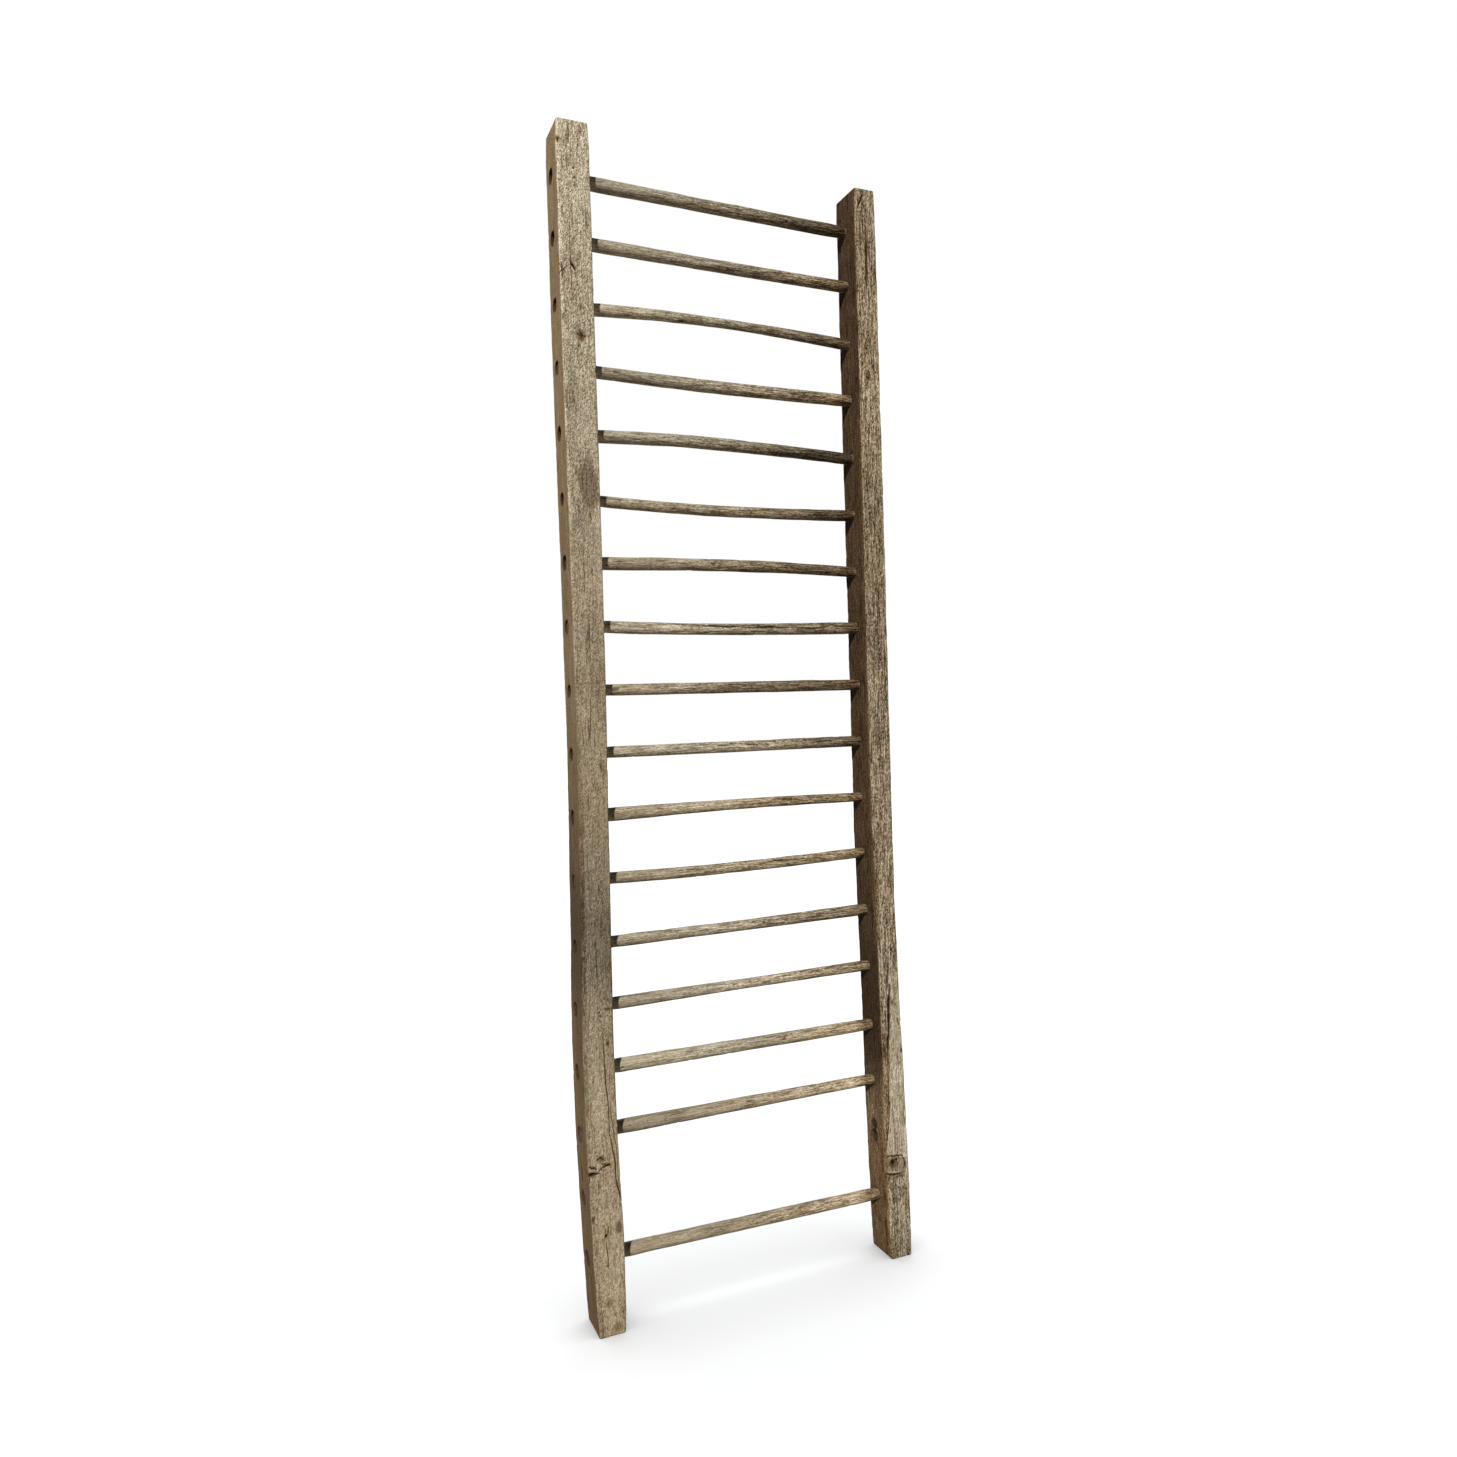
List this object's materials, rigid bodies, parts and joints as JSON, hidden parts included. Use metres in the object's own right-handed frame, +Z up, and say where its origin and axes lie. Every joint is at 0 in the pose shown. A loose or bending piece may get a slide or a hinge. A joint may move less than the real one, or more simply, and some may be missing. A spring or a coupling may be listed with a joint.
{
  "type": "hay rack",
  "caption": "Old timber hay rack stood on end: two long hewn rails joined like a ladder by shaved round poles, with an empty pair of sockets where a pole is missing.",
  "frame": {"origin": "on the ground, under the middle of the rack's whole outline", "axes": "+Z up along the rails, +X across the rack from the left rail to the right rail as seen from the front, +Y to the back, the side that faces the wall"},
  "size_m": [0.7049, 0.0776, 2.257],
  "materials": {
    "left_rail_timber": "weathered, dry, worn corners",
    "right_rail_timber": "weathered, deeply grained",
    "pole_wood": "shaved and worn smooth, matt",
    "nail_iron": "rusted"
  },
  "bodies": {
    "root": {"rail_left": "left_rail_timber", "rail_right": "right_rail_timber", "rung_01": "pole_wood", "rung_02": "pole_wood", "rung_03": "pole_wood", "rung_04": "pole_wood", "rung_05": "pole_wood", "rung_06": "pole_wood", "rung_07": "pole_wood", "rung_08": "pole_wood", "rung_09": "pole_wood", "rung_10": "pole_wood", "rung_11": "pole_wood", "rung_12": "pole_wood", "rung_13": "pole_wood", "rung_14": "pole_wood", "rung_15": "pole_wood", "rung_16": "pole_wood", "rung_18": "pole_wood", "lock_nail_top_left": "nail_iron", "lock_nail_second_left": "nail_iron", "lock_nail_bottom_left": "nail_iron", "lock_nail_top_right": "nail_iron", "lock_nail_bottom_right": "nail_iron"}
  },
  "joints": []
}
